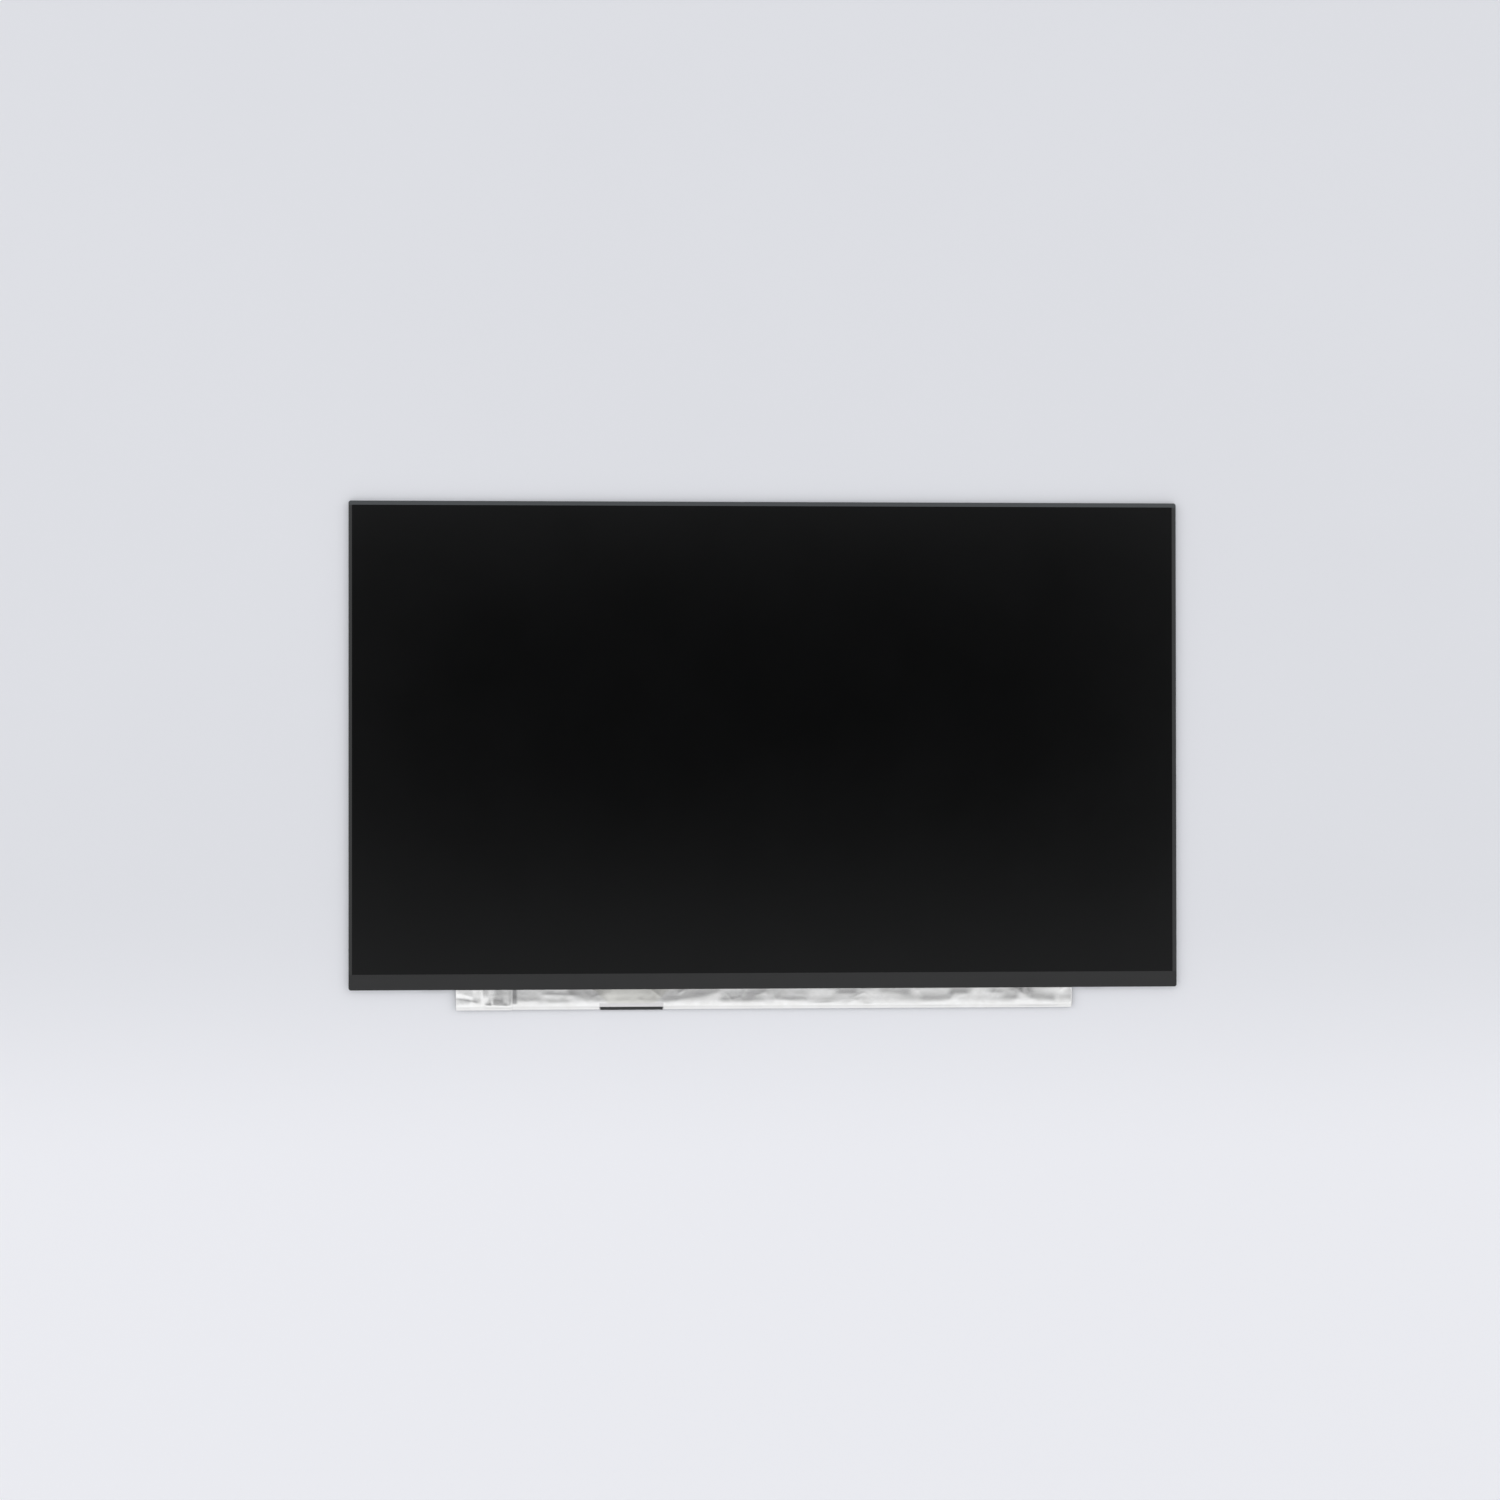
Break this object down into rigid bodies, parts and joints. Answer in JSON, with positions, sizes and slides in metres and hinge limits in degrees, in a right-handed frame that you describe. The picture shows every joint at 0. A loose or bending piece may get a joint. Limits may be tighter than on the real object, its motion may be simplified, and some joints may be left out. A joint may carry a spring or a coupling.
{
  "type": "laptop screen panel",
  "caption": "Flat narrow-border LCD module for a laptop lid: dark matt screen, black edge tape, back tray, and a foil-covered control board with a cable receptacle along its lower edge.",
  "frame": {"origin": "centre of the panel's rectangular outline, on its back face", "axes": "+X to the right and +Y to the top of the picture, seen from the front; +Z out of the screen"},
  "size_m": [0.3506, 0.2149, 0.0026],
  "materials": {
    "screen_film": "black anti-glare polarizer film",
    "rear_film": "grey polarizer film",
    "cell_glass": "thin clear glass over a dark matrix",
    "black_tape": "matt black polyester tape",
    "rim_tape": "black double-sided tape",
    "white_film": "white diffusing film",
    "prism_film": "clear prismatic film",
    "acrylic": "clear polished acrylic",
    "frame_plastic": "moulded black plastic",
    "plate": "rolled sheet",
    "flex_circuit": "amber polyimide film with fine traces",
    "silicon": "polished dark chip",
    "circuit_board": "green solder mask",
    "chip_package": "moulded black epoxy",
    "ferrite": "dark grey ferrite",
    "ceramic": "tan ceramic",
    "resistor_body": "black glazed film",
    "tin": "tin plating",
    "connector_plastic": "black moulded polymer",
    "connector_steel": "plated spring steel",
    "contact_gold": "gold flash",
    "foil": "soft crinkled silver foil",
    "lamp_white": "white lamp moulding",
    "phosphor": "yellow phosphor gel"
  },
  "bodies": {
    "root": {"front_polarizer": "screen_film", "colour_filter_glass": "cell_glass", "array_glass": "cell_glass", "rear_polarizer": "rear_film", "edge_tape": "black_tape", "driver_tape": "black_tape", "rim_tape": "rim_tape", "upper_prism_film": "prism_film", "lower_prism_film": "prism_film", "diffuser_film": "white_film", "light_guide": "acrylic", "reflector_sheet": "white_film", "light_bar": "flex_circuit", "led_bodies": "lamp_white", "led_phosphors": "phosphor", "mould_frame": "frame_plastic", "back_plate": "plate", "driver_film_1": "flex_circuit", "driver_film_2": "flex_circuit", "driver_film_3": "flex_circuit", "driver_film_4": "flex_circuit", "driver_chips": "silicon", "control_board": "circuit_board", "timing_controller": "chip_package", "power_chip": "chip_package", "backlight_chip": "chip_package", "memory_chip": "chip_package", "inductors": "ferrite", "diodes": "chip_package", "capacitors": "ceramic", "resistors": "resistor_body", "chip_terminals": "tin", "connector_housing": "connector_plastic", "connector_shell": "connector_steel", "connector_contacts": "contact_gold", "board_foil": "foil", "foil_patch": "foil"}
  },
  "joints": []
}
